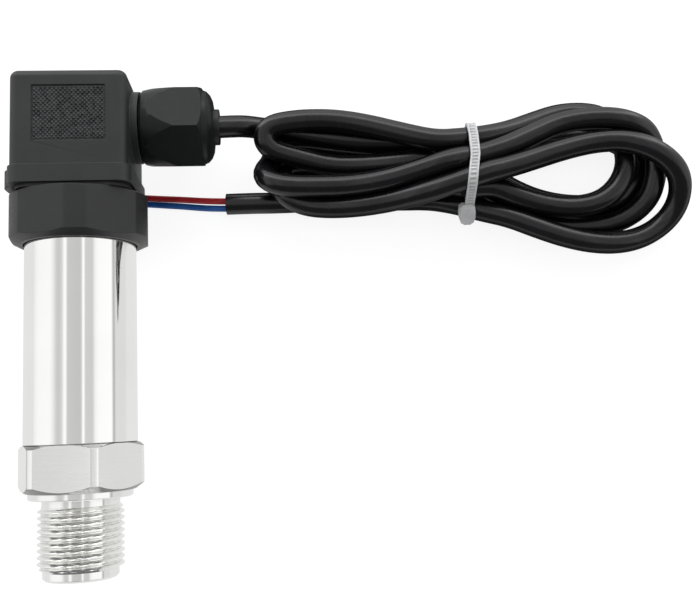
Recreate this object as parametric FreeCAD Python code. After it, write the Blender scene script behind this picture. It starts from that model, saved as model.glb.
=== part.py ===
import FreeCAD, Part
import os, math
from FreeCAD import Vector as V, Matrix, Placement, Rotation

os.makedirs("parts", exist_ok=True)

# ---------------------------------------------------------------- dimensions
# Bench frame: the transmitter's axis is Y, the plug end is +Y, +Z is the side
# that lies uppermost, and Y = 0 is the joint between the hexagon and the tube.
THREAD_R = 10.0            # M20 x 1.5 process thread, crest radius
THREAD_Y0, THREAD_Y1 = -28.3, -15.2
RELIEF_R, NOSE_R = 9.0, 8.76
NOSE_Y0, NOSE_Y1 = -31.1, -29.0
COLLAR_R, COLLAR_Y0, COLLAR_Y1 = 12.15, -12.6, -11.0
HEX_AF, HEX_TURNED_R = 27.0, 15.0
HEX_ROT = 30.0             # corner direction, degrees from +Z towards +X
PORT_R = 1.75              # pressure port
TUBE_R, TUBE_WALL, TUBE_TOP = 13.3, 1.25, 51.2
NUT_AF, NUT_TURNED_R, NUT_Y0, NUT_Y1 = 32.3, 17.2, 48.0, 60.0
NUT_ROT = 14.4
PLUG_ROT = 7.0             # plug turned about the axis, +Z towards +X
GASKET_T = 1.0
PLUG_Y0 = NUT_Y1 + GASKET_T
FLANGE_H, FLANGE_HALF = 4.4, 14.1
CASE_HALF_U, CASE_HALF_H, CASE_TOP = 13.3, 13.5, 88.8
CASE_WALL = 2.0
PAD_U0, PAD_U1, PAD_Y0, PAD_Y1, PAD_DEEP = -8.8, 8.4, 71.2, 84.7, 0.35
GLAND_Y = 78.1             # gland axis height along Y
GLAND_NUT_AF, GLAND_NUT_R = 19.2, 11.1
GLAND_ROT = -15.0          # gland hexagon corner, from +Z towards +Y
CORD_R = 2.8               # 5.6 mm jacket
CORE_R = 0.75              # 1.5 mm cores inside the plug
WIRE_R = 0.85              # 1.7 mm insulated wires past the jacket end
BLADE_W, BLADE_T, BLADE_TOP = 6.3, 0.8, 70.5
BLADE_OFFSET = 8.6
LAY_ANGLE = math.degrees(math.atan2(17.15 - 13.5, 49.5 + 10.8))

# ------------------------------------------------------------------- helpers
def cyl(r, y0, y1, x=0.0, z=0.0):
    return Part.makeCylinder(r, y1 - y0, V(x, y0, z), V(0, 1, 0))

def cone(r0, y0, r1, y1):
    return Part.makeCone(r0, r1, y1 - y0, V(0, y0, 0), V(0, 1, 0))

def ring(ro, ri, y0, y1, x=0.0, z=0.0):
    return cyl(ro, y0, y1, x, z).cut(cyl(ri, y0 - 1, y1 + 1, x, z))

def box(x0, x1, y0, y1, z0, z1):
    return Part.makeBox(x1 - x0, y1 - y0, z1 - z0, V(x0, y0, z0))

def hexa(af, y0, y1, rot):
    """Hexagonal prism along Y with one corner at rot degrees from +Z to +X."""
    r = af / 2 / math.cos(math.radians(30))
    pts = []
    for k in range(7):
        a = math.radians(rot + 60 * k)
        pts.append(V(r * math.sin(a), y0, r * math.cos(a)))
    return Part.Face(Part.makePolygon(pts)).extrude(V(0, y1 - y0, 0))

def cylx(r, u0, u1, y=GLAND_Y, z=0.0):
    return Part.makeCylinder(r, u1 - u0, V(u0, y, z), V(1, 0, 0))

def revx(profile, y=GLAND_Y):
    """Solid turned about the gland axis from (u, r) points."""
    pts = [V(u, y + r, 0) for u, r in profile]
    f = Part.Face(Part.makePolygon(pts + [pts[0]]))
    return f.revolve(V(0, y, 0), V(1, 0, 0), 360)

def revy(profile):
    """Solid turned about the main axis from (r, y) points."""
    pts = [V(r, y, 0) for r, y in profile]
    f = Part.Face(Part.makePolygon(pts + [pts[0]]))
    return f.revolve(V(0, 0, 0), V(0, 1, 0), 360)

def fillet_where(shape, r, test):
    es = [e for e in shape.Edges if test(e)]
    return shape.makeFillet(r, es) if es else shape

def tori(rc, r, y):
    return Part.makeTorus(rc, r, V(0, y, 0), V(0, 1, 0))

def turned(shape, deg):
    """Turn about the main axis so that +Z moves towards +X."""
    s = shape.copy()
    s.rotate(V(0, 0, 0), V(0, 1, 0), deg)
    return s

parts = {}       # shapes in the bench frame, laid down later
flat = {}        # shapes already in the lying frame

# --------------------------------------------------------- stainless fitting
body = revy([(0, NOSE_Y0), (NOSE_R - 0.5, NOSE_Y0), (NOSE_R, NOSE_Y0 + 0.5), (NOSE_R, NOSE_Y1),
             (THREAD_R, THREAD_Y0), (THREAD_R, THREAD_Y1), (RELIEF_R, THREAD_Y1 + 0.9),
             (RELIEF_R, COLLAR_Y0), (COLLAR_R - 0.25, COLLAR_Y0), (COLLAR_R, COLLAR_Y0 + 0.25),
             (COLLAR_R, COLLAR_Y1 + 0.3), (0, COLLAR_Y1 + 0.3)])
hexpart = hexa(HEX_AF, COLLAR_Y1, -0.02, HEX_ROT)
t30 = math.tan(math.radians(30))
turn = revy([(0, COLLAR_Y1), (12.9, COLLAR_Y1), (HEX_TURNED_R, COLLAR_Y1 + (HEX_TURNED_R - 12.9) * t30 * 1.25),
             (HEX_TURNED_R, -0.02 - (HEX_TURNED_R - 13.6) * t30), (13.6, -0.02), (0, -0.02)])
hexpart = hexpart.common(turn)
neck = cyl(11.95, -0.5, 13.0)
fitting = body.fuse([hexpart, neck]).removeSplitter()
fitting = fitting.cut(cyl(9.65, 2.0, 14.0)).cut(cyl(PORT_R, NOSE_Y0 - 1, 3.0))
parts["process_fitting"] = fitting
parts["sensor_tube"] = revy([(TUBE_R - TUBE_WALL, 0.0), (TUBE_R - 0.2, 0.0), (TUBE_R, 0.2),
                             (TUBE_R, TUBE_TOP), (TUBE_R - TUBE_WALL, TUBE_TOP)])

# ------------------------------------------------------------- sensing pieces
cap = revy([(0, 3.6), (6.6, 3.6), (6.9, 3.25), (9.5, 3.25), (9.5, 8.6), (8.2, 8.6), (8.2, 7.4), (0, 7.4)])
for a in (45, 135, 225, 315):
    x, z = 3.6 * math.sin(math.radians(a)), 3.6 * math.cos(math.radians(a))
    cap = cap.fuse(cyl(0.3, 7.3, 10.4, x, z))
parts["sensor_capsule"] = cap
parts["capsule_seal"] = tori(8.4, 0.6, 2.62)
lock = ring(9.55, 6.6, 8.75, 11.8)
for k in (0, 90):
    lock = lock.cut(turned(box(-12, 12, 10.4, 13, -1.0, 1.0), k))
parts["lock_ring"] = lock
BOARD_Z = -2.0
board = box(-9.0, 9.0, 15.5, 43.0, BOARD_Z - 0.8, BOARD_Z + 0.8)
for x in (-7.2, 7.2):
    for y in (17.4, 41.0):
        board = board.cut(Part.makeCylinder(0.55, 4, V(x, y, BOARD_Z - 2), V(0, 0, 1)))
parts["circuit_board"] = board
parts["amplifier_chip"] = box(-2.6, 2.6, 23.0, 29.0, BOARD_Z + 0.8, BOARD_Z + 2.4)
trim = []
for x in (-5.6, 2.2):
    t = box(x, x + 3.4, 33.0, 37.2, BOARD_Z + 0.8, BOARD_Z + 4.4)
    t = t.fuse(Part.makeCylinder(1.0, 0.7, V(x + 1.7, 35.1, BOARD_Z + 4.4), V(0, 0, 1)))
    t = t.cut(box(x + 0.9, x + 2.5, 34.9, 35.3, BOARD_Z + 4.7, BOARD_Z + 6))
    trim.append(t)
parts["trim_potentiometers"] = Part.makeCompound(trim)
leads = []
for a, bx in ((45, 6.0), (135, 3.4), (225, -3.4), (315, -6.0)):
    x, z = 3.6 * math.sin(math.radians(a)), 3.6 * math.cos(math.radians(a))
    p = [V(x, 10.5, z), V((x + bx) / 2, 13.0, (z + BOARD_Z + 1.3) / 2), V(bx, 15.2, BOARD_Z + 1.3), V(bx, 18.6, BOARD_Z + 1.3)]
    w = None
    for i in range(3):
        c = Part.makeCylinder(0.3, (p[i + 1] - p[i]).Length, p[i], p[i + 1] - p[i])
        w = c if w is None else w.fuse(c)
        if i < 2:
            w = w.fuse(Part.makeSphere(0.3, p[i + 1]))
    leads.append(w)
parts["sensor_leads"] = Part.makeCompound(leads)

# --------------------------------------------------------------- plug base
base = hexa(NUT_AF, NUT_Y0, NUT_Y1, NUT_ROT)
cham = 1.3
env = revy([(0, NUT_Y0), (14.6, NUT_Y0), (NUT_TURNED_R, NUT_Y0 + cham), (NUT_TURNED_R, NUT_Y1 - 0.5),
            (NUT_TURNED_R - 0.9, NUT_Y1), (0, NUT_Y1)])
base = base.common(env)
base = base.cut(ring(13.6, 11.8, NUT_Y0 - 1, 52.5))          # groove that takes the tube
base = base.fuse(ring(11.8, 10.2, 44.2, NUT_Y0 + 0.5))       # neck inside the tube
base = base.cut(cyl(10.2, 40, 54.0))
boss = box(-9.2, 9.2, NUT_Y1 - 0.5, NUT_Y1 + 2.2, -9.2, 9.2)
boss = fillet_where(boss, 2.0, lambda e: abs(e.tangentAt(e.FirstParameter).y) > 0.9)
base = base.fuse(turned(boss, PLUG_ROT)).removeSplitter()
holes = [cyl(2.45, 53.0, NUT_Y1 + 3)]
blade_pos = [(-BLADE_OFFSET + 1.4, 0, "z"), (BLADE_OFFSET - 1.4, 0, "z"), (0, -BLADE_OFFSET + 1.4, "x"), (0, BLADE_OFFSET - 1.4, "x")]
def blade(x, z, along, w, t, y0, y1):
    if along == "z":
        return box(x - t / 2, x + t / 2, y0, y1, z - w / 2, z + w / 2)
    return box(x - w / 2, x + w / 2, y0, y1, z - t / 2, z + t / 2)
for x, z, al in blade_pos:
    holes.append(blade(x, z, al, BLADE_W + 0.1, BLADE_T + 0.1, 53.0, NUT_Y1 + 3))
for h in holes:
    base = base.cut(turned(h, PLUG_ROT))
parts["plug_base"] = base
bl = []
for x, z, al in blade_pos:
    b = blade(x, z, al, BLADE_W, BLADE_T, 56.0, BLADE_TOP).fuse(blade(x, z, al, 2.4, BLADE_T, 50.0, 56.0))
    b = fillet_where(b, 0.35, lambda e: abs(e.CenterOfMass.y - BLADE_TOP) < 1e-4 and e.Length > 3)
    bl.append(turned(b, PLUG_ROT))
parts["contact_blades"] = Part.makeCompound(bl[:3])
parts["earth_blade"] = bl[3]
parts["base_insert"] = turned(ring(2.4, 1.55, 54.2, NUT_Y1 + 1.6), PLUG_ROT)
parts["tube_seal"] = tori(12.7, 0.6, 51.82)
inner = []
for x, z in ((-BLADE_OFFSET + 1.4, 0), (BLADE_OFFSET - 1.4, 0)):
    top = turned(Part.Vertex(V(x, 49.9, z)), PLUG_ROT).Point
    sx = -1 if x < 0 else 1
    p = [V(sx * 6.6, 41.2, BOARD_Z + 1.5), V(sx * 6.6, 44.6, BOARD_Z + 1.5), top - V(0, 2.2, 0), top]
    w = None
    for i in range(3):
        c = Part.makeCylinder(0.5, (p[i + 1] - p[i]).Length, p[i], p[i + 1] - p[i])
        w = c if w is None else w.fuse(c)
        if i < 2:
            w = w.fuse(Part.makeSphere(0.5, p[i + 1]))
    inner.append(w)
parts["inner_leads"] = Part.makeCompound(inner)

def rounded_plate(hu, hh, y0, y1, r):
    b = box(-hu, hu, y0, y1, -hh, hh)
    return fillet_where(b, r, lambda e: abs(e.tangentAt(e.FirstParameter).y) > 0.9)

gk = rounded_plate(13.5, 13.5, NUT_Y1, PLUG_Y0, 4.5).cut(rounded_plate(9.4, 9.4, NUT_Y1 - 1, PLUG_Y0 + 1, 2.0))
parts["flange_gasket"] = turned(gk, PLUG_ROT)

# --------------------------------------------------------------- plug housing
case = rounded_plate(CASE_HALF_U + 0.45, CASE_HALF_H, PLUG_Y0, CASE_TOP, 2.2)
case.translate(V(-0.45, 0, 0))                                  # back wall is the thicker one
case = fillet_where(case, 1.9, lambda e: abs(e.CenterOfMass.y - CASE_TOP) < 1e-4)
fl = rounded_plate(FLANGE_HALF + 0.35, FLANGE_HALF, PLUG_Y0, PLUG_Y0 + FLANGE_H, 3.2)
fl.translate(V(-0.35, 0, 0))
lip = box(-16.6, -10, PLUG_Y0, PLUG_Y0 + FLANGE_H, -9.5, 9.5)
lip = fillet_where(lip, 3.0, lambda e: abs(e.tangentAt(e.FirstParameter).y) > 0.9 and e.CenterOfMass.x < -12)
fl = fl.fuse(lip).removeSplitter()
case = case.fuse(fl).removeSplitter()
case = case.fuse(cylx(9.0, CASE_HALF_U - 1.0, 15.1))            # gland collar
case = case.fuse(cylx(7.5, 14.0, 24.6))                        # gland spigot
case = case.cut(rounded_plate(CASE_HALF_U - CASE_WALL, CASE_HALF_H - CASE_WALL, PLUG_Y0 - 1, CASE_TOP - 2.8, 1.0))
case = case.cut(box(PAD_U0, PAD_U1, PAD_Y0, PAD_Y1, CASE_HALF_H - PAD_DEEP, CASE_HALF_H + 1))
case = case.cut(cylx(4.2, 8.0, 26.0)).cut(cylx(6.3, 19.2, 26.0))
case = case.cut(cyl(1.8, 80, 90)).cut(cyl(3.4, CASE_TOP - 1.9, CASE_TOP + 1))
parts["plug_housing"] = turned(case, PLUG_ROT)

# terminal carrier, clips, screws
car = rounded_plate(11.1, 11.3, PLUG_Y0 + 2.5, 78.4, 0.9).cut(cyl(1.8, 50, 90))
CLIP_Y0, CLIP_Y1 = 64.2, 74.6
for x, z, al in blade_pos:
    car = car.cut(blade(x, z, al, 7.5, 3.1, CLIP_Y0 - 2.0, CLIP_Y1 + 0.1))
    car = car.cut(cyl(2.75, CLIP_Y1 - 0.2, 80, x, z))
car = car.cut(box(8.6, 12, 74.9, 80, -5.4, 5.4))
parts["terminal_carrier"] = turned(car, PLUG_ROT)
clips, tscr = [], []
for x, z, al in blade_pos:
    c = blade(x, z, al, 7.3, 2.9, CLIP_Y0, CLIP_Y1).cut(blade(x, z, al, BLADE_W + 0.3, BLADE_T + 0.2, CLIP_Y0 - 1, 71.2))
    clips.append(turned(c, PLUG_ROT))
    s = cyl(1.2, CLIP_Y1, CLIP_Y1 + 1.0, x, z).fuse(cyl(2.5, CLIP_Y1 + 1.0, CLIP_Y1 + 2.8, x, z))
    s = s.cut(box(x - 3, x + 3, CLIP_Y1 + 2.0, CLIP_Y1 + 4, z - 0.35, z + 0.35))
    tscr.append(turned(s, PLUG_ROT))
parts["socket_contacts"] = Part.makeCompound(clips)
parts["terminal_screws"] = Part.makeCompound(tscr)

# central screw, its sealing washer
scr = cyl(1.5, 55.4, CASE_TOP - 1.3).fuse(cyl(2.9, CASE_TOP - 1.3, CASE_TOP + 0.4))
scr = fillet_where(scr, 0.4, lambda e: abs(e.CenterOfMass.y - (CASE_TOP + 0.4)) < 1e-4)
scr = scr.cut(box(-4, 4, CASE_TOP - 0.5, CASE_TOP + 2, -0.4, 0.4))
parts["fixing_screw"] = turned(scr, PLUG_ROT)
parts["screw_seal"] = turned(ring(3.0, 1.75, CASE_TOP - 1.9, CASE_TOP - 1.35), PLUG_ROT)

# gland nut, ring and rubber bush
gn = revx([(15.5, 0), (15.5, 8.9), (15.9, 9.3), (24.0, GLAND_NUT_R), (29.6, GLAND_NUT_R), (30.5, 9.9),
           (30.6, 9.3), (31.6, 8.9), (32.5, 7.9), (33.05, 6.6), (33.2, 5.6), (33.2, 0)])
hx = hexa(GLAND_NUT_AF, 0, 40, 0)                     # along Y, then laid along +X
hx.rotate(V(0, 0, 0), V(0, 0, 1), -90)
hx.translate(V(0, 0, 0))
hx.rotate(V(0, 0, 0), V(1, 0, 0), -GLAND_ROT)
hx.translate(V(0, GLAND_Y, 0))
gn = gn.common(hx)
gn = gn.cut(cylx(7.8, 15.0, 28.6)).cut(cylx(4.85, 28.0, 34.0))
parts["gland_nut"] = turned(gn, PLUG_ROT)
parts["gland_bush"] = turned(revx([(19.4, 2.85), (19.4, 6.1), (24.6, 6.1), (27.2, 7.2), (27.6, 7.2), (27.6, 4.5),
                                   (34.4, 4.5), (34.6, 4.3), (34.6, 2.85)]), PLUG_ROT)
parts["gland_ring"] = turned(cylx(7.2, 27.65, 28.35).cut(cylx(4.6, 27, 29)), PLUG_ROT)

# two cores from the cord's end inside the housing up to the terminal screws
cores = []
for s, (tx, tz) in ((1, (BLADE_OFFSET - 1.4, 0)), (-1, (-BLADE_OFFSET + 1.4, 0))):
    if s == 1:
        p = [V(12.6, GLAND_Y, 1.2), V(11.2, 79.6, 2.4), V(9.6, 80.6, 3.4), V(tx + 0.6, 80.6, 3.6)]
    else:
        p = [V(12.6, GLAND_Y, -1.2), V(10.2, 80.5, -2.6), V(4.0, 82.3, -4.6), V(-4.0, 81.9, -4.4), V(tx - 0.2, 80.6, -3.6)]
    w = None
    for i in range(len(p) - 1):
        c = Part.makeCylinder(CORE_R, (p[i + 1] - p[i]).Length, p[i], p[i + 1] - p[i])
        w = c if w is None else w.fuse(c)
        if i < len(p) - 2:
            w = w.fuse(Part.makeSphere(CORE_R, p[i + 1]))
    cores.append(turned(w, PLUG_ROT))
parts["terminal_cores"] = Part.makeCompound(cores)

# ------------------------------------------- lay everything on the surface
a = math.radians(LAY_ANGLE)
LOW = 49.5 * math.sin(a) - 17.15 * math.cos(a)
def lay(shape):
    s = shape.copy()
    s.rotate(V(0, 0, 0), V(1, 0, 0), LAY_ANGLE)
    s.translate(V(0, 0, -LOW))
    return s
def lay_point(p):
    return Rotation(V(1, 0, 0), LAY_ANGLE).multVec(p) + V(0, 0, -LOW)
laid = {k: lay(v) for k, v in parts.items()}

# ---------------------------------------------------------------- the cord
def route_tube(name, pts, r, start_dir=None):
    """Straight runs joined by tangent arcs, swept with a round section."""
    pts = [V(*p) for p in pts]
    edges, radii, cur = [], [], pts[0]
    for i in range(1, len(pts) - 1):
        d0, d1 = pts[i] - pts[i - 1], pts[i + 1] - pts[i]
        turn_a = d0.getAngle(d1)
        rad = 0.45 * min(d0.Length, d1.Length) / math.tan(turn_a / 2)
        radii.append(round(rad, 2))
        t = rad * math.tan(turn_a / 2)
        u0, u1 = V(d0).normalize(), V(d1).normalize()
        s, e = pts[i] - u0 * t, pts[i] + u1 * t
        bis = (u1 - u0).normalize()
        mid = pts[i] + bis * (rad / math.cos(turn_a / 2) - rad)
        edges.append(Part.LineSegment(cur, s).toShape())
        edges.append(Part.Arc(s, mid, e).toShape())
        cur = e
    edges.append(Part.LineSegment(cur, pts[-1]).toShape())
    wire = Part.Wire(edges)
    d = V(pts[1] - pts[0]).normalize()
    prof = Part.Wire(Part.Circle(pts[0], d, r).toShape())
    tube = wire.makePipeShell([prof], True, False)
    L = wire.Length
    print(name, "radii", radii, "length", round(L, 2), "volume ratio", round(tube.Volume / (math.pi * r * r * L), 4), tube.isValid())
    return tube

def gland_point(u):
    """Point on the gland axis u from the main axis, in the lying frame."""
    return lay_point(Rotation(V(0, 1, 0), PLUG_ROT).multVec(V(u, GLAND_Y, 0)))

g0, g1 = gland_point(12.8), gland_point(34.6)
flat["cord_entry"] = Part.makeCylinder(CORD_R, (g1 - g0).Length, g0, g1 - g0)
flat["cord_lead"] = route_tube("cord_lead", [g1, (37.1, 78.75, 14.15), (39.8, 79.25, 13.2), (43.6, 79.5, 11.0)], CORD_R)
flat["cord_tail"] = route_tube("cord_tail", [(48.4, 60.5, 2.8), (41.2, 61.35, 2.8), (33.97, 61.24, 2.8)], CORD_R)

# outer shape of the tied hank, seen from above
HANK_OUTLINE = [(41.7, 77.3), (43.0, 80.0), (45.7, 82.6), (50.3, 84.1), (54.2, 84.7), (59.5, 84.7), (70.0, 83.2),
    (80.3, 80.4), (90.6, 77.7), (99.7, 77.4), (106.2, 78.2), (111.5, 79.8), (116.8, 81.5), (122.0, 82.7),
    (126.4, 83.4), (132.3, 82.8), (137.3, 80.9), (142.2, 78.7), (145.7, 75.2), (147.9, 72.1), (151.3, 68.1),
    (153.3, 63.2), (153.5, 58.7), (152.3, 54.0), (149.3, 49.7), (145.3, 46.2), (138.8, 43.4), (131.2, 42.3),
    (126.3, 42.9), (119.0, 44.9), (111.6, 47.6), (104.3, 50.4), (97.5, 53.0), (92.0, 54.6), (86.9, 55.4),
    (79.2, 55.2), (71.5, 54.6), (62.5, 54.4), (56.1, 55.4), (50.9, 57.3), (46.4, 60.4), (42.8, 65.4),
    (41.8, 69.1), (42.6, 71.5), (43.7, 73.1), (42.2, 75.3)]
HANK_H = 14.5
pts = [V(x, y, 0) for x, y in HANK_OUTLINE]
hank = Part.Face(Part.makePolygon(pts + [pts[0]])).extrude(V(0, 0, HANK_H))

# the tie and the tightened bundle inside it
TIE_X0, TIE_X1, TIE_T = 96.1, 98.5, 1.1
BUNDLE = [(67.0, 4.1), (72.1, 7.8), (72.6, 13.8), (60.7, 19.3), (55.6, 9.6)]     # outermost strand centres, (Y, Z)
def bundle_slab(x0, x1, off):
    p = [V(x0, y, z) for y, z in BUNDLE]
    w = Part.makePolygon(p + [p[0]])
    return Part.Face(w.makeOffset2D(off)).extrude(V(x1 - x0, 0, 0))
hank = hank.fuse(bundle_slab(87.0, 108.0, CORD_R))
hank = hank.cut(Part.makeBox(TIE_X1 - TIE_X0, 60, 40, V(TIE_X0, 35, -5)))
hank = hank.fuse(bundle_slab(TIE_X0, TIE_X1, CORD_R))
band = bundle_slab(TIE_X0, TIE_X1, CORD_R + TIE_T).cut(bundle_slab(TIE_X0 - 1, TIE_X1 + 1, CORD_R))
head = Part.makeBox(4.2, 5.2, 3.0, V(-2.1, -2.6, 0))
head = fillet_where(head, 0.8, lambda e: abs(e.tangentAt(e.FirstParameter).z) > 0.9)
head.rotate(V(0, 0, 0), V(1, 0, 0), 42.0)
head.translate(V((TIE_X0 + TIE_X1) / 2 - 0.5, 55.6 - 3.1 * math.sin(math.radians(42)), 9.6 + 3.1 * math.cos(math.radians(42))))
tie = band.fuse(head).cut(bundle_slab(TIE_X0 - 2, TIE_X1 + 2, CORD_R)).removeSplitter()
flat["cable_tie"] = tie
hank = hank.cut(tie).removeSplitter()
if len(hank.Solids) > 1:
    hank = sorted(hank.Solids, key=lambda q: q.Volume)[-1]
flat["cord_hank"] = hank

# two bare-ended cores that run on from the end of the jacket
flat["red_core"] = route_tube("red_core", [(33.97, 62.05, 3.3), (30.6, 62.45, 2.85), (26.6, 63.15, 1.65),
    (21.9, 63.9, 0.92), (16.6, 64.42, 0.88), (10.8, 65.05, 0.88), (4.6, 65.3, 0.9), (-0.2, 65.25, 0.88)], WIRE_R)
flat["blue_core"] = route_tube("blue_core", [(33.97, 60.3, 2.5), (30.4, 60.6, 2.1), (26.3, 61.25, 1.3),
    (21.4, 62.05, 0.89), (16.0, 62.62, 0.9), (10.2, 63.25, 0.88), (4.4, 63.2, 0.9), (0.6, 62.85, 0.88)], WIRE_R)

# ------------------------------------------- origin under the transmitter
bb = None
for k, v in laid.items():
    b = v.optimalBoundingBox(False, False)
    bb = b if bb is None else bb.united(b)
SHIFT = V(-(bb.XMin + bb.XMax) / 2, -(bb.YMin + bb.YMax) / 2, -bb.ZMin)
everything = dict(laid)
everything.update(flat)
for name, shp in everything.items():
    s = shp.copy()
    s.translate(SHIFT)
    s.exportStep("parts/" + name + ".step")
    b = s.optimalBoundingBox(False, False)
    print("%-20s %d solid(s) valid %s vol %9.2f  x %7.2f %7.2f  y %7.2f %7.2f  z %6.2f %6.2f" % (
        name, len(s.Solids), s.isValid(), s.Volume, b.XMin, b.XMax, b.YMin, b.YMax, b.ZMin, b.ZMax))

def show(label, p, d=None):
    q = lay_point(p) + SHIFT
    t = "" if d is None else " axis " + str([round(c, 5) for c in Rotation(V(1, 0, 0), LAY_ANGLE).multVec(d)])
    print(label, [round(c / 1000, 6) for c in q], t)
print("shift", [round(c, 4) for c in SHIFT])
show("thread middle", V(0, (THREAD_Y0 + THREAD_Y1) / 2, 0), V(0, -1, 0))
show("nose face", V(0, NOSE_Y0, 0), V(0, -1, 0))
show("plug joint", V(0, PLUG_Y0, 0), V(0, 1, 0))
show("screw joint", V(0, CASE_TOP, 0), V(0, 1, 0))
gdir = Rotation(V(0, 1, 0), PLUG_ROT).multVec(V(1, 0, 0))
show("gland nut joint", V(0, GLAND_Y, 0) + gdir * 24.0, gdir)
print("gland exit", [round(c / 1000, 6) for c in (g1 + SHIFT)])
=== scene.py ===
import math
import bpy
import bmesh
import numpy as np
from mathutils import Matrix, Vector


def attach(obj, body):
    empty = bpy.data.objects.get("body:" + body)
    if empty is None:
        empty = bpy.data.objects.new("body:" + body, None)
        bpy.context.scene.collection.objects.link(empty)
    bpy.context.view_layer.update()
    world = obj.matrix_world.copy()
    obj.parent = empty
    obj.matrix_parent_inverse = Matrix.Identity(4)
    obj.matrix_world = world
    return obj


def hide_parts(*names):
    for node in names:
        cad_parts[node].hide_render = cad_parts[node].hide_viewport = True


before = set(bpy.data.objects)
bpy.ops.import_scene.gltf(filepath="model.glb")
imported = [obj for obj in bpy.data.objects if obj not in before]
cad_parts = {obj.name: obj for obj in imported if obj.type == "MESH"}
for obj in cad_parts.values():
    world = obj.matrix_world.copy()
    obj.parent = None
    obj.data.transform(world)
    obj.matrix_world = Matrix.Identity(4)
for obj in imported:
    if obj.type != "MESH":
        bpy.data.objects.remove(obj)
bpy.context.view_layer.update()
MM = 0.001
scene = bpy.context.scene
coll = scene.collection

# ---------------------------------------------------------------- camera
cam_data = bpy.data.cameras.new("camera")
cam_data.sensor_fit = "HORIZONTAL"
cam_data.sensor_width = 36.0
cam_data.lens = 46.914
cam_data.clip_start = 0.01
cam_data.clip_end = 20.0
cam = bpy.data.objects.new("camera", cam_data)
cam.matrix_world = Matrix(((0.9982534, 0.0448125, 0.0384975, 0.0650693),
                           (-0.0366383, 0.9807842, -0.1916245, -0.0382254),
                           (-0.0463449, 0.1898793, 0.980713, 0.2313020),
                           (0, 0, 0, 1)))
coll.objects.link(cam)
scene.camera = cam


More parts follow.
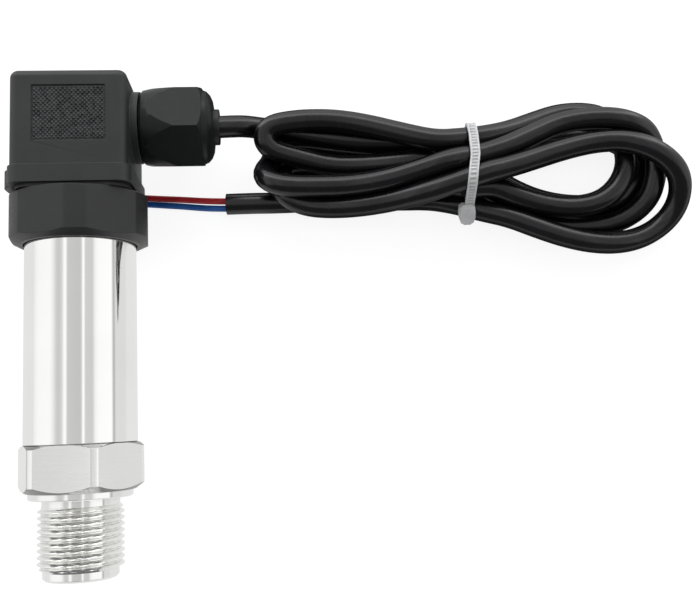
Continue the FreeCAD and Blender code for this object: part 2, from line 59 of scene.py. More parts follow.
# ---------------------------------------------------------------- cords
CORD_D = 0.0056
CORE_D = 0.0017
CORD_ROUTE = [
    (4.02, 49.11, 17.29), (15.03, 49.20, 15.94), (23.77, 49.26, 14.87), (28.21, 49.76, 13.61),
    (31.55, 50.22, 12.21), (35.81, 50.46, 9.41), (41.60, 49.61, 8.69), (50.38, 47.81, 8.64),
    (60.74, 45.82, 8.72), (71.39, 45.08, 8.65), (81.21, 44.40, 8.98), (89.19, 43.33, 7.98),
    (96.33, 43.14, 5.78), (104.03, 44.13, 4.35), (111.95, 45.56, 3.47), (118.91, 46.23, 2.93),
    (124.81, 45.45, 2.93), (129.24, 43.27, 2.93), (132.22, 39.60, 2.93), (132.56, 35.11, 2.93),
    (129.78, 31.07, 2.93), (125.57, 28.18, 2.93), (120.01, 27.30, 2.93), (113.46, 27.57, 2.93),
    (106.58, 29.24, 3.01), (100.19, 32.23, 3.41), (94.87, 36.06, 3.60), (88.19, 40.94, 3.33),
    (79.85, 42.51, 2.93), (71.02, 43.08, 3.06), (61.82, 44.61, 2.93), (52.83, 46.15, 2.93),
    (45.54, 47.37, 2.93), (40.45, 47.30, 3.44), (37.99, 45.39, 4.97), (37.60, 41.71, 7.16),
    (35.75, 37.69, 11.05), (37.63, 34.47, 13.99), (42.19, 32.97, 14.25), (49.45, 33.01, 12.82),
    (57.85, 32.97, 12.21), (66.90, 33.50, 13.40), (75.71, 34.98, 15.65), (83.19, 36.83, 17.15),
    (90.15, 38.31, 14.91), (96.61, 39.93, 14.55), (103.47, 42.97, 13.64), (110.78, 46.21, 12.99),
    (117.58, 47.03, 13.41), (123.77, 46.54, 14.33), (128.81, 45.46, 13.85), (132.89, 43.93, 11.52),
    (135.07, 41.26, 9.01), (135.99, 36.90, 7.61), (135.44, 32.33, 7.01), (134.04, 28.19, 6.01),
    (130.82, 24.85, 4.23), (125.62, 22.42, 2.93), (119.51, 21.77, 2.93), (112.81, 22.06, 2.93),
    (105.74, 23.86, 2.93), (98.52, 26.71, 3.03), (92.44, 30.82, 2.97), (85.95, 36.15, 5.09),
    (78.45, 39.81, 10.70), (70.52, 38.98, 10.40), (61.68, 39.08, 9.17), (52.95, 39.54, 9.01),
    (43.45, 41.98, 11.00), (39.38, 42.80, 12.61), (37.56, 44.03, 13.61), (36.73, 45.66, 14.16),
    (37.09, 47.38, 14.56), (38.55, 48.64, 14.81), (40.78, 49.30, 15.01), (43.78, 49.68, 14.91),
    (47.78, 50.09, 14.41), (54.60, 50.02, 13.63), (62.46, 48.34, 13.72), (71.31, 45.31, 14.36),
    (79.85, 42.71, 14.71), (86.33, 43.08, 14.04), (92.25, 43.91, 12.70), (99.08, 45.80, 10.34),
    (106.00, 49.04, 7.40), (112.62, 51.55, 5.66), (118.64, 51.65, 5.74), (123.21, 49.74, 7.43),
    (126.17, 45.25, 8.67), (128.29, 40.52, 8.68), (128.28, 35.69, 8.49), (126.49, 31.54, 8.26),
    (123.13, 28.02, 8.41), (118.39, 25.84, 8.70), (112.33, 25.53, 8.71), (105.77, 26.60, 9.41),
    (99.61, 28.79, 10.22), (94.39, 31.39, 10.70), (88.15, 31.12, 11.22), (78.98, 33.27, 10.34),
    (70.53, 36.65, 4.51), (60.57, 39.16, 2.94), (51.33, 40.27, 3.01), (44.46, 40.93, 3.28),
    (40.97, 40.04, 3.45), (39.67, 36.85, 5.58), (39.98, 34.31, 8.64), (42.08, 31.45, 8.82),
    (46.68, 29.18, 8.80), (52.91, 28.32, 8.94), (60.72, 28.17, 9.78), (69.20, 28.62, 11.86),
    (77.55, 29.27, 15.79), (85.27, 31.45, 16.46), (91.65, 33.31, 16.40), (98.01, 34.80, 15.59),
    (104.91, 37.04, 14.51), (112.26, 39.22, 14.13), (119.70, 40.65, 14.03), (126.34, 40.42, 14.68),
    (131.72, 38.44, 15.21), (136.19, 35.88, 14.31), (139.45, 32.71, 12.61), (140.86, 28.98, 9.81),
    (140.16, 24.81, 6.61), (137.13, 21.11, 4.81), (131.81, 17.90, 4.61), (125.27, 16.24, 6.21),
    (118.25, 16.37, 7.61), (111.24, 18.16, 8.01), (104.19, 20.99, 8.31), (97.64, 23.98, 8.37),
    (91.44, 25.91, 7.57), (84.87, 28.34, 7.09), (77.99, 30.67, 4.26), (70.13, 31.25, 2.93),
    (58.66, 32.05, 2.93), (47.15, 32.10, 2.86), (37.94, 32.14, 2.83), (31.75, 32.40, 2.83),
    (25.12, 32.46, 2.83),
]
RED_ROUTE = [
    (25.18, 33.11, 3.31), (21.81, 33.38, 3.01), (17.81, 33.94, 2.31), (13.11, 34.64, 1.76),
    (7.81, 35.18, 1.51), (2.01, 35.84, 1.43), (-4.19, 36.06, 1.41), (-8.99, 36.04, 1.41),
]
BLUE_ROUTE = [
    (25.18, 31.36, 2.51), (21.61, 31.66, 2.11), (17.51, 32.31, 1.31), (12.61, 33.11, 0.90),
    (7.21, 33.68, 0.91), (1.41, 34.31, 0.89), (-4.39, 34.26, 0.91), (-8.19, 33.91, 0.89),
]


def cord_curve(name, route, diameter, steps, ring):
    data = bpy.data.curves.new(name, "CURVE")
    data.dimensions = "3D"
    data.resolution_u = steps
    data.bevel_depth = diameter / 2
    data.bevel_resolution = ring
    data.use_fill_caps = True
    line = data.splines.new("NURBS")
    line.points.add(len(route) - 1)
    for point, (x, y, z) in zip(line.points, route):
        point.co = (x * MM, y * MM, z * MM, 1.0)
    line.order_u = 3
    line.use_endpoint_u = True
    ob = bpy.data.objects.new(name, data)
    coll.objects.link(ob)
    return ob


cord = cord_curve("signal_cord", CORD_ROUTE, CORD_D, 8, 6)
red_wire = cord_curve("red_wire", RED_ROUTE, CORE_D, 10, 4)
blue_wire = cord_curve("blue_wire", BLUE_ROUTE, CORE_D, 10, 4)


# ---------------------------------------------------------------- material tools
def lin(v):
    v = v / 255.0
    return v / 12.92 if v <= 0.04045 else ((v + 0.055) / 1.055) ** 2.4


def rgb(r, g, b):
    return (lin(r), lin(g), lin(b), 1.0)


class Mat:
    """A principled material with short calls for procedural detail."""

    def __init__(self, name):
        self.m = bpy.data.materials.new(name)
        self.m.use_nodes = True
        self.nt = self.m.node_tree
        self.nt.nodes.clear()
        self.out = self.node("ShaderNodeOutputMaterial")
        self.b = self.node("ShaderNodeBsdfPrincipled")
        self.link(self.b.outputs["BSDF"], self.out.inputs["Surface"])
        self.last_normal = None

    def node(self, kind):
        return self.nt.nodes.new(kind)

    def link(self, a, b):
        self.nt.links.new(a, b)

    def coords(self, scale=(1, 1, 1), turn=(0, 0, 0)):
        tc = self.node("ShaderNodeTexCoord")
        mp = self.node("ShaderNodeMapping")
        mp.inputs["Scale"].default_value = scale
        mp.inputs["Rotation"].default_value = turn
        self.link(tc.outputs["Object"], mp.inputs["Vector"])
        return mp.outputs["Vector"]

    def noise(self, scale, detail=2.0, rough=0.5, stretch=(1, 1, 1), turn=(0, 0, 0), warp=0.0):
        n = self.node("ShaderNodeTexNoise")
        n.inputs["Scale"].default_value = scale
        n.inputs["Detail"].default_value = detail
        n.inputs["Roughness"].default_value = rough
        n.inputs["Distortion"].default_value = warp
        self.link(self.coords(stretch, turn), n.inputs["Vector"])
        return n.outputs["Fac"]

    def voronoi(self, scale, stretch=(1, 1, 1), feature="F1"):
        n = self.node("ShaderNodeTexVoronoi")
        n.feature = feature
        n.inputs["Scale"].default_value = scale
        self.link(self.coords(stretch), n.inputs["Vector"])
        return n.outputs["Distance"]

    def ramp(self, fac, stops):
        n = self.node("ShaderNodeValToRGB")
        e = n.color_ramp.elements
        while len(e) > 1:
            e.remove(e[-1])
        e[0].position, e[0].color = stops[0]
        for pos, col in stops[1:]:
            k = e.new(pos)
            k.color = col
        self.link(fac, n.inputs["Fac"])
        return n.outputs["Color"]

    def span(self, fac, lo, hi, a=0.3, b=0.7):
        n = self.node("ShaderNodeMapRange")
        n.inputs["From Min"].default_value = a
        n.inputs["From Max"].default_value = b
        n.inputs["To Min"].default_value = lo
        n.inputs["To Max"].default_value = hi
        self.link(fac, n.inputs["Value"])
        return n.outputs["Result"]

    def color(self, socket):
        self.link(socket, self.b.inputs["Base Color"])

    def rough(self, socket):
        self.link(socket, self.b.inputs["Roughness"])

    def bump(self, height, strength, distance):
        n = self.node("ShaderNodeBump")
        n.inputs["Strength"].default_value = strength
        n.inputs["Distance"].default_value = distance
        self.link(height, n.inputs["Height"])
        if self.last_normal is not None:
            self.link(self.last_normal, n.inputs["Normal"])
        self.link(n.outputs["Normal"], self.b.inputs["Normal"])
        self.last_normal = n.outputs["Normal"]

    def set(self, **values):
        for key, v in values.items():
            self.b.inputs[key.replace("_", " ")].default_value = v
        return self


TILT = math.radians(3.46393)


def moulded(name, dark, light, rough_lo, rough_hi, grain=5200.0, grain_depth=0.00003, blotch=70.0, ior=1.5):
    m = Mat(name)
    tone = m.ramp(m.noise(blotch, 4, 0.6), [(0.32, dark), (0.68, light)])
    m.color(tone)
    m.rough(m.span(m.noise(1400, 3, 0.6), rough_lo, rough_hi))
    m.bump(m.noise(grain, 3, 0.6), 0.55, grain_depth)
    m.bump(m.noise(160, 2, 0.5), 0.10, 0.00025)
    m.set(IOR=ior)
    return m.m


def metal(name, dark, light, rough_lo, rough_hi, line_scale=9000.0, line_depth=0.000006, strength=0.4,
          across=(0.02, 1.0, 0.02), scratch=0.1, crevice_shade_distance=0.0, turned_below=None):
    m = Mat(name)
    tone = m.ramp(m.noise(45, 3, 0.55), [(0.3, dark), (0.7, light)])
    if crevice_shade_distance:
        # painted shade: the grooves and the undersides of the shoulders are darker, the base colour multiplied down
        # by ambient occlusion
        ao = m.node("ShaderNodeAmbientOcclusion")
        ao.samples = 8
        ao.inputs["Distance"].default_value = crevice_shade_distance
        shade = m.ramp(ao.outputs["AO"], [(0.20, rgb(150, 150, 148)), (0.48, rgb(240, 240, 239)), (0.70, rgb(255, 255, 255))])
        mul = m.node("ShaderNodeMix")
        mul.data_type = "RGBA"
        mul.blend_type = "MULTIPLY"
        mul.inputs[0].default_value = 1.0
        m.link(tone, mul.inputs[6])
        m.link(shade, mul.inputs[7])
        tone = mul.outputs[2]
    if turned_below is not None:
        # painted shade: the chamfers at both ends of the hexagon are darker than its flats, the base colour scaled
        # down where the face points along the axis
        geo = m.node("ShaderNodeNewGeometry")
        facing = m.node("ShaderNodeSeparateXYZ")
        m.link(geo.outputs["True Normal"], facing.inputs[0])
        side = m.node("ShaderNodeMath")
        side.operation = "ABSOLUTE"
        m.link(facing.outputs["Y"], side.inputs[0])
        chamfer_shade_mask = m.node("ShaderNodeMath")
        chamfer_shade_mask.operation = "MULTIPLY"
        m.link(side.outputs[0], chamfer_shade_mask.inputs[0])
        place = m.node("ShaderNodeSeparateXYZ")
        m.link(m.coords((1, 1, 1), (-TILT, 0, 0)), place.inputs[0])
        m.link(m.span(place.outputs["Y"], 0.0, 1.0, turned_below - 0.0003, turned_below - 0.0001), chamfer_shade_mask.inputs[1])
        chamfer_painted_shade = m.node("ShaderNodeVectorMath")
        chamfer_painted_shade.operation = "SCALE"
        m.link(tone, chamfer_painted_shade.inputs[0])
        m.link(m.span(chamfer_shade_mask.outputs[0], 1.0, 0.27, 0.30, 0.62), chamfer_painted_shade.inputs["Scale"])
        tone = chamfer_painted_shade.outputs[0]
    m.color(tone)
    worn = m.span(m.noise(line_scale * 0.35, 4, 0.65, across, (-TILT, 0, 0)), rough_lo, rough_hi)
    if turned_below is not None:
        # the turned collar and neck are smoother than the brushed flats
        along = m.node("ShaderNodeSeparateXYZ")
        m.link(m.coords((1, 1, 1), (-TILT, 0, 0)), along.inputs[0])
        mul = m.node("ShaderNodeMath")
        mul.operation = "MULTIPLY"
        m.link(worn, mul.inputs[0])
        m.link(m.span(along.outputs["Y"], 0.36, 1.0, turned_below - 0.0002, turned_below + 0.0001), mul.inputs[1])
        worn = mul.outputs[0]
    m.rough(worn)
    m.bump(m.noise(line_scale, 3, 0.7, across, (-TILT, 0, 0)), strength, line_depth)
    m.bump(m.noise(900, 5, 0.75, (1.0, 0.10, 1.0)), scratch, 0.00001)
    m.set(Metallic=1.0)
    return m.m


M_TUBE = metal("polished_steel_tube", rgb(247, 247, 246), rgb(252, 252, 250), 0.050, 0.090,
               line_scale=5200.0, line_depth=0.000003, strength=0.20, scratch=0.06)
M_FITTING = metal("brushed_steel_fitting", rgb(243, 243, 241), rgb(251, 251, 250), 0.18, 0.30,
                  line_scale=7800.0, line_depth=0.000010, strength=0.45, crevice_shade_distance=0.0022, turned_below=-0.03903)
M_THREAD = metal("cut_steel_thread", rgb(246, 246, 244), rgb(254, 254, 252), 0.09, 0.17,
                 line_scale=6000.0, line_depth=0.000006, strength=0.3, crevice_shade_distance=0.0009)
M_CAPSULE = metal("capsule_steel", rgb(205, 205, 203), rgb(222, 222, 220), 0.22, 0.34)
M_SCREW = metal("zinc_screw", rgb(186, 188, 190), rgb(208, 210, 212), 0.20, 0.34, across=(1.0, 1.0, 0.04))
M_CONTACT = metal("tinned_contact", rgb(190, 184, 168), rgb(214, 208, 192), 0.22, 0.36, across=(1.0, 0.05, 1.0))
M_BRASS = metal("brass_insert", rgb(184, 148, 84), rgb(206, 170, 104), 0.20, 0.32)
M_LEAD = metal("tinned_lead", rgb(198, 196, 192), rgb(220, 218, 214), 0.24, 0.38, across=(1.0, 0.05, 1.0))

M_NUT = moulded("black_nut_plastic", rgb(25, 26, 27), rgb(33, 34, 34), 0.38, 0.50)
M_PLUG = moulded("black_plug_plastic", rgb(28, 31, 31), rgb(38, 41, 41), 0.42, 0.56)
M_PAD = moulded("knurled_pad_plastic", rgb(24, 25, 27), rgb(36, 37, 39), 0.30, 0.44)
M_GLAND = moulded("black_gland_plastic", rgb(17, 20, 19), rgb(26, 29, 28), 0.31, 0.42, grain=3600.0, grain_depth=0.00002)
M_CARRIER = moulded("carrier_plastic", rgb(38, 38, 40), rgb(52, 52, 54), 0.42, 0.56)
M_GASKET = moulded("gasket_rubber", rgb(10, 11, 11), rgb(18, 19, 19), 0.50, 0.66, grain=2600.0, grain_depth=0.00003)
M_SEAL = moulded("seal_rubber", rgb(14, 14, 14), rgb(22, 22, 22), 0.48, 0.62, grain=2400.0)
M_BUSH = moulded("bush_rubber", rgb(11, 12, 13), rgb(19, 20, 21), 0.42, 0.55, grain=2400.0)
M_BOARD = moulded("circuit_board", rgb(16, 72, 40), rgb(28, 96, 58), 0.30, 0.45, grain=2600.0, blotch=420.0)
M_CHIP = moulded("chip_resin", rgb(24, 24, 26), rgb(38, 38, 40), 0.42, 0.55)
M_TRIM = moulded("trimmer_plastic", rgb(24, 70, 140), rgb(40, 94, 170), 0.35, 0.48)


def jacket():
    m = Mat("cord_jacket")
    m.color(m.ramp(m.noise(110, 4, 0.6), [(0.30, rgb(8, 8, 10)), (0.70, rgb(18, 18, 21))]))
    m.rough(m.span(m.noise(700, 4, 0.6), 0.16, 0.29))
    m.bump(m.noise(2600, 3, 0.6), 0.35, 0.00003)
    m.bump(m.noise(240, 3, 0.5), 0.25, 0.00030)
    m.set(IOR=1.5)
    return m.m


M_CORD = jacket()


def core(name, dark, light):
    m = Mat(name)
    m.color(m.ramp(m.noise(240, 3, 0.6), [(0.3, dark), (0.7, light)]))
    m.rough(m.span(m.noise(1500, 3, 0.6), 0.28, 0.42))
    m.bump(m.noise(3000, 2, 0.5), 0.3, 0.00002)
    m.set(IOR=1.5)
    return m.m


M_RED = core("red_insulation", rgb(170, 22, 30), rgb(196, 34, 42))
M_BLUE = core("blue_insulation", rgb(18, 82, 158), rgb(32, 100, 180))


def nylon():
    m = Mat("natural_nylon")
    m.color(m.ramp(m.noise(300, 3, 0.6), [(0.3, rgb(208, 210, 211)), (0.7, rgb(228, 229, 230))]))
    m.rough(m.span(m.noise(1600, 3, 0.6), 0.36, 0.50))
    m.bump(m.noise(3400, 3, 0.6), 0.35, 0.00003)
    m.set(Subsurface_Weight=0.40, Subsurface_Scale=0.0012, Transmission_Weight=0.12, IOR=1.5)
    m.b.inputs["Subsurface Radius"].default_value = (1.0, 0.95, 0.9)
    return m.m


M_TIE = nylon()
M_GLAND.node_tree.nodes["Principled BSDF"].inputs["Specular IOR Level"].default_value = 0.24

# ---------------------------------------------------------------- mesh tools
LAY = Matrix.Translation((-8.7877, -28.9383, 14.1364)) @ Matrix.Rotation(TILT, 4, "X")
UNLAY = LAY.inverted()
PLUG_TURN = Matrix.Rotation(math.radians(7.0), 4, "Y")


def finish_piece(name, me, mat, sharp=32.0):
    me.materials.clear()
    me.materials.append(mat)
    me.shade_smooth()
    me.set_sharp_from_angle(angle=math.radians(sharp))
    ob = bpy.data.objects.new(name, me)
    coll.objects.link(ob)
    return ob


def grid_mesh(name, pts, closed_u=False, closed_v=False):
    """pts[i][j] -> xyz in metres; quads between neighbours."""
    pts = np.asarray(pts, dtype=float)
    n, k = pts.shape[0], pts.shape[1]
    faces = []
    for i in range(n if closed_u else n - 1):
        a = i * k
        b = ((i + 1) % n) * k
        for j in range(k if closed_v else k - 1):
            c = (j + 1) % k
            faces.append((a + j, b + j, b + c, a + c))
    me = bpy.data.meshes.new(name)
    me.from_pydata([tuple(p) for p in pts.reshape(-1, 3)], [], faces)
    me.update()
    return me


def outward(me):
    bm = bmesh.new()
    bm.from_mesh(me)
    bmesh.ops.recalc_face_normals(bm, faces=bm.faces)
    bm.to_mesh(me)
    bm.free()
    me.update()


def copy_of(node, keep=None, flat=True):
    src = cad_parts[node].data
    verts = [tuple(v.co) for v in src.vertices]
    faces = [tuple(p.vertices) for p in src.polygons]
    me = bpy.data.meshes.new(node + "_finish")
    me.from_pydata(verts, [], faces)
    bm = bmesh.new()
    bm.from_mesh(me)
    bmesh.ops.remove_doubles(bm, verts=bm.verts, dist=2e-6)
    if keep is not None:
        gone = [f for f in bm.faces if not keep(f)]
        bmesh.ops.delete(bm, geom=gone, context="FACES")
    if flat:
        bmesh.ops.dissolve_limit(bm, angle_limit=math.radians(0.6), verts=bm.verts[:], edges=bm.edges[:])
    bmesh.ops.recalc_face_normals(bm, faces=bm.faces)
    bm.to_mesh(me)
    bm.free()
    me.update()
    return me


def look(node, mat, body, bevel=0.0, seg=2, angle=32.0, sharp=32.0, keep=None):
    me = copy_of(node, keep)
    ob = finish_piece(node + "_finish", me, mat, 180.0 if bevel else sharp)
    if bevel:
        mod = ob.modifiers.new("edge", "BEVEL")
        mod.width = bevel * MM
        mod.segments = seg
        mod.limit_method = "ANGLE"
        mod.angle_limit = math.radians(angle)
        mod.miter_outer = "MITER_ARC"
        mod.use_clamp_overlap = True
        wn_mod = ob.modifiers.new("even", "WEIGHTED_NORMAL")
        wn_mod.mode = "FACE_AREA"
        wn_mod.weight = 100
        wn_mod.keep_sharp = False
        dg = bpy.context.evaluated_depsgraph_get()
        done = bpy.data.meshes.new_from_object(ob.evaluated_get(dg))
        ob.modifiers.clear()
        ob.data = done
        done.materials.clear()
        done.materials.append(mat)
    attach(ob, body)
    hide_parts(node)
    return ob


# ---------------------------------------------------------------- threaded steel fitting
THREAD_PITCH = 1.5
THREAD_Y0 = 1.395
THREAD_LO, THREAD_HI = -29.0, -14.3


def thread_r(y, turn):
    f = ((y - THREAD_Y0) / THREAD_PITCH - turn) % 1.0
    d = abs(f - 0.5) * 2.0                       # 1 at the crest, 0 at the root
    profile = 9.08 + (10.0 - 9.08) * min(1.0, max(0.0, (d - 0.16) / 0.70))
    nose = 8.76 + (y - THREAD_LO) * 1.24 / 0.7
    relief = 9.0 + (THREAD_HI - y) / 0.9
    return min(profile, nose, relief, 10.0)


def thread_mesh():
    rows = []
    n = 184
    for i in range(n + 1):
        y = THREAD_LO + (THREAD_HI - THREAD_LO) * i / n
        row = []
        for j in range(144):
            a = 2 * math.pi * j / 144
            r = thread_r(y, a / (2 * math.pi))
            p = LAY @ Vector((r * math.sin(a), y, r * math.cos(a)))
            row.append(tuple(p * MM))
        rows.append(row)
    me = grid_mesh("thread_finish", rows, closed_v=True)
    outward(me)
    return me


def off_thread(face):
    inside = 0
    for v in face.verts:
        p = UNLAY @ (v.co / MM)
        if THREAD_LO - 0.05 < p.y < THREAD_HI + 0.05 and math.hypot(p.x, p.z) > 8.70:
            inside += 1
    return inside < len(face.verts)


fitting = look("process_fitting", M_FITTING, "transmitter", bevel=0.18, seg=2, angle=28, keep=off_thread)
thread = finish_piece("thread_finish", thread_mesh(), M_THREAD, 38.0)
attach(thread, "transmitter")

tube = look("sensor_tube", M_TUBE, "transmitter", bevel=0.12, seg=2, angle=40)

# ---------------------------------------------------------------- plastic nut, gasket and plug
nut = look("plug_base", M_NUT, "transmitter", bevel=0.22, seg=3, angle=24)
gasket = look("flange_gasket", M_GASKET, "transmitter", bevel=0.12, seg=2)
housing = look("plug_housing", M_PLUG, "plug", bevel=0.28, seg=3, angle=26)
gland = look("gland_nut", M_GLAND, "nut", bevel=0.22, seg=3, angle=20)
bush = look("gland_bush", M_BUSH, "plug", bevel=0.10, seg=2)
ring = look("gland_ring", M_GLAND, "plug", bevel=0.10, seg=2)
screw = look("fixing_screw", M_SCREW, "screw", bevel=0.08, seg=2)

PAD_U0, PAD_U1, PAD_Y0, PAD_Y1, PAD_H = -8.8, 8.4, 71.2, 84.7, 13.15
PAD_PITCH = 1.02


def pad_mesh():
    step = 0.115
    nu = int((PAD_U1 - PAD_U0) / step)
    ny = int((PAD_Y1 - PAD_Y0) / step)
    rows = []
    for i in range(nu + 1):
        u = PAD_U0 + (PAD_U1 - PAD_U0) * i / nu
        row = []
        for j in range(ny + 1):
            y = PAD_Y0 + (PAD_Y1 - PAD_Y0) * j / ny
            a = abs(((u + y) / PAD_PITCH) % 1.0 - 0.5) * 2.0
            b = abs(((u - y) / PAD_PITCH) % 1.0 - 0.5) * 2.0
            cell = (math.floor((u + y) / PAD_PITCH + 0.5), math.floor((u - y) / PAD_PITCH + 0.5))
            lift = 0.45 + 0.55 * ((cell[0] * 37 + cell[1] * 61 + (cell[0] * cell[1]) % 7 * 13) % 17) / 16.0
            h = 0.35 * lift * min(min(1.0, a * 1.7), min(1.0, b * 1.7))
            edge = min(u - PAD_U0, PAD_U1 - u, y - PAD_Y0, PAD_Y1 - y)
            h *= min(1.0, max(0.0, (edge - 0.18) / 0.30))
            p = LAY @ (PLUG_TURN @ Vector((u, y, PAD_H + 0.01 + h)))
            row.append(tuple(p * MM))
        rows.append(row)
    me = grid_mesh("plug_pad_knurl", rows)
    if me.polygons[0].normal.z < 0:
        me.flip_normals()
    return me


pad = finish_piece("plug_pad_knurl", pad_mesh(), M_PAD, 60.0)
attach(pad, "plug")

# ---------------------------------------------------------------- cable tie
SHIFT = Vector((-8.7877, -28.9383, 0.0085))
BUNDLE = [(55.93, 7.35), (60.28, 11.05), (61.33, 16.42), (62.97, 4.27), (66.91, 15.49), (69.23, 3.33), (72.33, 13.53), (72.43, 7.94)]
TIE_MID = 97.3
BAND_IN = 2.84


def hull_path(step):
    pts = []
    for i in range(1440):
        a = 2 * math.pi * i / 1440
        dy, dz = math.cos(a), math.sin(a)
        cy, cz = max(BUNDLE, key=lambda q: q[0] * dy + q[1] * dz)
        pts.append((cy + BAND_IN * dy, cz + BAND_IN * dz))
    pts = np.array(pts)
    seg = np.linalg.norm(np.roll(pts, -1, 0) - pts, axis=1)
    cum = np.concatenate([[0], np.cumsum(seg)])
    total = cum[-1]
    n = int(round(total / step))
    loop = np.vstack([pts, pts[:1]])
    s = np.linspace(0, total, n, endpoint=False)
    out = np.stack([np.interp(s, cum, loop[:, 0]), np.interp(s, cum, loop[:, 1])], axis=1)
    for _ in range(6):
        out = 0.5 * out + 0.25 * (np.roll(out, 1, 0) + np.roll(out, -1, 0))
    t = np.roll(out, -1, 0) - np.roll(out, 1, 0)
    t /= np.linalg.norm(t, axis=1)[:, None]
    nrm = np.stack([t[:, 1], -t[:, 0]], axis=1)
    return out, nrm, s


def tie_band():
    path, nrm, s = hull_path(0.09)
    rows = []
    for (y, z), (ny, nz), d in zip(path, nrm, s):
        f = (d / 0.90) % 1.0
        rung = min(1.0, max(0.0, (abs(f - 0.5) * 2.0 - 0.45) / 0.22))
        t = 0.62 + 0.30 * rung
        prof = [(-1.10, 0.06), (-1.18, 0.16), (-1.18, 0.86), (-1.08, 1.02), (-0.84, 1.04), (-0.74, 0.98), (-0.66, t),
                (0.66, t), (0.74, 0.98), (0.84, 1.04), (1.08, 1.02), (1.18, 0.86), (1.18, 0.16), (1.10, 0.06)]
        mid = float(np.interp(y, [53, 60, 66, 72, 76], [96.0, 97.0, 98.0, 98.0, 97.6]))
        rows.append([((mid + x + SHIFT.x) * MM, (y + ny * h + SHIFT.y) * MM, max(0.02, z + nz * h + SHIFT.z) * MM) for x, h in prof])
    me = grid_mesh("tie_band", rows, closed_u=True, closed_v=True)
    outward(me)
    return me


def tie_head():
    a = math.radians(42.0)
    mid = Vector((95.75, 53.25, 11.3))
    ax = Vector((1, 0, 0))
    along = Vector((0, -math.cos(a), -math.sin(a)))        # down the side of the bundle
    up = Vector((0, -math.sin(a), math.cos(a)))            # away from the bundle
    outline = [(-1.85, -2.75), (1.85, -2.75), (2.1, -1.9), (2.25, 0.2), (1.95, 1.5), (1.40, 2.7), (-1.40, 2.7), (-1.95, 1.5),
               (-2.25, 0.2), (-2.1, -1.9)]
    bm = bmesh.new()
    low = [bm.verts.new(mid + ax * x + along * t + up * -1.4) for x, t in outline]
    top = [bm.verts.new(mid + ax * x * 0.93 + along * t * 0.94 + up * 1.4) for x, t in outline]
    bm.faces.new(low[::-1])
    bm.faces.new(top)
    n = len(outline)
    for i in range(n):
        bm.faces.new((low[i], low[(i + 1) % n], top[(i + 1) % n], top[i]))
    bmesh.ops.bevel(bm, geom=[e for e in bm.edges], offset=0.42, segments=3, affect="EDGES", clamp_overlap=True)
    for v in bm.verts:
        v.co = (v.co + SHIFT) * MM
    bmesh.ops.recalc_face_normals(bm, faces=bm.faces)
    me = bpy.data.meshes.new("tie_head")
    bm.to_mesh(me)
    bm.free()
    return me


band = finish_piece("tie_band", tie_band(), M_TIE, 40.0)
head = finish_piece("tie_head", tie_head(), M_TIE, 50.0)
for ob in (band, head):
    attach(ob, "plug")
    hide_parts("cable_tie")

# ---------------------------------------------------------------- pieces that keep their own solid
KEEP = {
    "sensor_capsule": M_CAPSULE, "capsule_seal": M_SEAL, "lock_ring": M_CAPSULE, "circuit_board": M_BOARD,
    "amplifier_chip": M_CHIP, "trim_potentiometers": M_TRIM, "sensor_leads": M_LEAD, "contact_blades": M_CONTACT,
    "earth_blade": M_CONTACT, "base_insert": M_BRASS, "tube_seal": M_SEAL, "inner_leads": M_RED,
    "terminal_carrier": M_CARRIER, "socket_contacts": M_CONTACT, "terminal_screws": M_SCREW, "screw_seal": M_SEAL,
    "terminal_cores": M_BLUE,
}
for node, mat in KEEP.items():
    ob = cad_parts[node]
    ob.data.materials.clear()
    ob.data.materials.append(mat)

# ---------------------------------------------------------------- cords: material, body, and the CAD nodes they replace hidden
for ob, mat, slot, nodes in ((cord, M_CORD, "cord_jacket", ("cord_entry", "cord_lead", "cord_hank", "cord_tail")),
                             (red_wire, M_RED, "core_red", ("red_core",)),
                             (blue_wire, M_BLUE, "core_blue", ("blue_core",))):
    ob.data.materials.append(mat)
    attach(ob, "plug")
    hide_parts(*nodes)

# ---------------------------------------------------------------- floor
floor_me = bpy.data.meshes.new("floor")
floor_me.from_pydata([(-3, -3, 0), (3, -3, 0), (3, 3, 0), (-3, 3, 0)], [], [(0, 1, 2, 3)])
floor = bpy.data.objects.new("floor", floor_me)
coll.objects.link(floor)
fm = bpy.data.materials.new("pale_floor")
fm.use_nodes = True
nt = fm.node_tree
nt.nodes.clear()
out = nt.nodes.new("ShaderNodeOutputMaterial")
path = nt.nodes.new("ShaderNodeLightPath")
glow = nt.nodes.new("ShaderNodeEmission")
glow.inputs["Color"].default_value = (1, 1, 1, 1)
glow.inputs["Strength"].default_value = 0.88
soft = nt.nodes.new("ShaderNodeBsdfDiffuse")
soft.inputs["Color"].default_value = (0.24, 0.24, 0.24, 1)
both = nt.nodes.new("ShaderNodeAddShader")
floor_glow_shaded = nt.nodes.new("ShaderNodeEmission")
floor_glow_shaded.inputs["Color"].default_value = (1, 1, 1, 1)
ftc = nt.nodes.new("ShaderNodeTexCoord")
fsep = nt.nodes.new("ShaderNodeSeparateXYZ")
nt.links.new(ftc.outputs["Object"], fsep.inputs[0])


def fade(value, a, b, lo, hi):
    n = nt.nodes.new("ShaderNodeMapRange")
    n.interpolation_type = "SMOOTHSTEP"
    n.inputs["From Min"].default_value = a
    n.inputs["From Max"].default_value = b
    for key, v in (("To Min", lo), ("To Max", hi)):
        if isinstance(v, float):
            n.inputs[key].default_value = v
        else:
            nt.links.new(v, n.inputs[key])
    nt.links.new(value, n.inputs["Value"])
    return n.outputs["Result"]
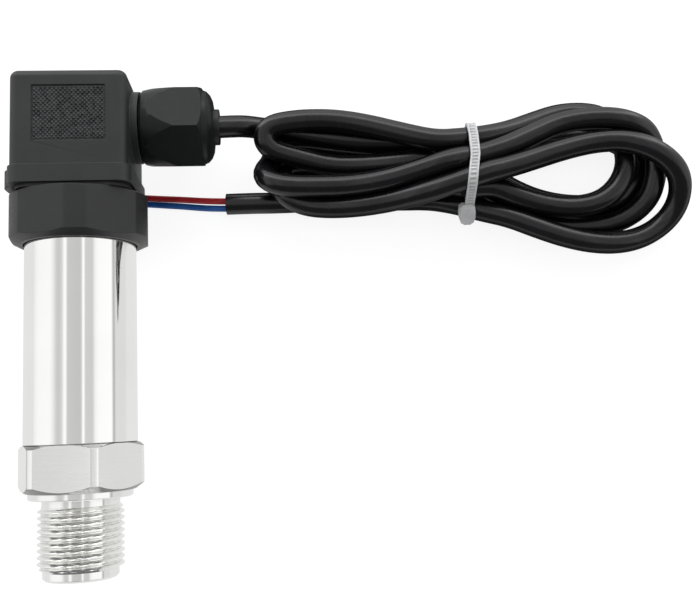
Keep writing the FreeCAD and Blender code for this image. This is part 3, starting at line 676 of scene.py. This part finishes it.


# stage only, painted shade: pieces lying close above the floor on the cord side see a darker floor than the steel
# does; the floor's glow for their short rays is turned down in place of the shade there
near_cord_shade = fade(path.outputs["Ray Length"], 0.012, 0.040, 0.08, 0.74)
beside = nt.nodes.new("ShaderNodeMath")
beside.operation = "MULTIPLY"
nt.links.new(fade(fsep.outputs["X"], 0.004, 0.010, 0.0, fade(fsep.outputs["X"], 0.040, 0.055, 1.0, 0.0)), beside.inputs[0])
nt.links.new(fade(fsep.outputs["Y"], 0.024, 0.033, 0.0, 1.0), beside.inputs[1])
beside = beside.outputs[0]
beyond = fade(fsep.outputs["X"], 0.030, 0.045, 0.0, 1.0)
far_floor_shade = nt.nodes.new("ShaderNodeMix")
far_floor_shade.inputs[2].default_value = 0.80
nt.links.new(beyond, far_floor_shade.inputs[0])
nt.links.new(near_cord_shade, far_floor_shade.inputs[3])
shade = nt.nodes.new("ShaderNodeMix")
nt.links.new(far_floor_shade.outputs[0], shade.inputs[2])
nt.links.new(fade(path.outputs["Ray Length"], 0.028, 0.060, 0.05, 0.74), shade.inputs[3])
nt.links.new(beside, shade.inputs[0])
nt.links.new(shade.outputs[0], floor_glow_shaded.inputs["Strength"])
pick = nt.nodes.new("ShaderNodeMixShader")
nt.links.new(glow.outputs[0], both.inputs[0])
nt.links.new(soft.outputs[0], both.inputs[1])
nt.links.new(path.outputs["Is Camera Ray"], pick.inputs[0])
nt.links.new(floor_glow_shaded.outputs[0], pick.inputs[1])
nt.links.new(both.outputs[0], pick.inputs[2])
nt.links.new(pick.outputs[0], out.inputs["Surface"])
floor_me.materials.append(fm)

# ---------------------------------------------------------------- soft light tent
world = bpy.data.worlds.new("light_tent")
scene.world = world
world.use_nodes = True
nt = world.node_tree
nt.nodes.clear()


def wn(kind):
    return nt.nodes.new(kind)


def wmath(op, a, b=None):
    n = wn("ShaderNodeMath")
    n.operation = op
    for k, v in ((0, a), (1, b)):
        if v is None:
            continue
        if isinstance(v, (int, float)):
            n.inputs[k].default_value = v
        else:
            nt.links.new(v, n.inputs[k])
    return n.outputs[0]


def wspan(value, a, b):
    n = wn("ShaderNodeMapRange")
    n.interpolation_type = "SMOOTHSTEP"
    n.inputs["From Min"].default_value = a
    n.inputs["From Max"].default_value = b
    n.inputs["To Min"].default_value = 0.0
    n.inputs["To Max"].default_value = 1.0
    nt.links.new(value, n.inputs["Value"])
    return n.outputs["Result"]


tc = wn("ShaderNodeTexCoord")
sep = wn("ShaderNodeSeparateXYZ")
nt.links.new(tc.outputs["Generated"], sep.inputs[0])
dx, dy, dz = sep.outputs
turn = wmath("ADD", wmath("DIVIDE", wmath("ARCTAN2", dx, dz), 2 * math.pi), 0.5)
BANDS = [(-180, 205), (-140, 214), (-118, 226), (-108, 220), (-103, 190), (-96, 205), (-86, 236), (-74, 247), (-46, 249),
         (-40, 240), (-31, 205), (-26, 198), (-19, 214), (-15.5, 250), (-11, 252), (-9, 200), (16, 194), (19.5, 205),
         (21.5, 255), (24.5, 255), (26.5, 206), (41, 204), (46, 240), (53, 251), (82, 253), (86, 176), (92, 198), (104, 188),
         (111, 226), (130, 229), (150, 214), (180, 200)]
ramp = wn("ShaderNodeValToRGB")
el = ramp.color_ramp.elements
while len(el) > 1:
    el.remove(el[-1])


def band_colour(v):
    k = lin(v) / 0.94
    return (k, k, k * 0.995, 1.0)


el[0].position = 0.0
el[0].color = band_colour(BANDS[0][1])
for deg, v in BANDS[1:]:
    e = el.new((deg + 180.0) / 360.0)
    e.color = band_colour(v)
nt.links.new(turn, ramp.inputs["Fac"])


def wmix(fac, a, b):
    n = wn("ShaderNodeMix")
    n.data_type = "RGBA"
    nt.links.new(fac, n.inputs["Factor"])
    for sock, v in ((n.inputs["A"], a), (n.inputs["B"], b)):
        pass
    ins = [i for i in n.inputs if i.type == "RGBA"]
    for sock, v in zip(ins, (a, b)):
        if isinstance(v, tuple):
            sock.default_value = v
        else:
            nt.links.new(v, sock)
    return [o for o in n.outputs if o.type == "RGBA"][0]


c = wmix(wspan(dy, 0.44, 0.62), ramp.outputs["Color"], (1.50, 1.50, 1.50, 1.0))
c = wmix(wspan(dy, -0.34, -0.50), c, (0.16, 0.16, 0.165, 1.0))
# one bright strip lamp high behind the object puts the sheen on the cord
c = wmix(wmath("MULTIPLY", wspan(dy, 0.60, 0.66), wspan(dy, 0.86, 0.80)), c, (3.2, 3.2, 3.25, 1.0))
lp = wn("ShaderNodeLightPath")
c = wmix(lp.outputs["Is Camera Ray"], c, (1.0, 1.0, 1.0, 1.0))
bg = wn("ShaderNodeBackground")
bg.inputs["Strength"].default_value = 1.0
nt.links.new(c, bg.inputs["Color"])
wo = wn("ShaderNodeOutputWorld")
nt.links.new(bg.outputs[0], wo.inputs["Surface"])

scene.view_settings.view_transform = "Standard"

bpy.context.view_layer.update()
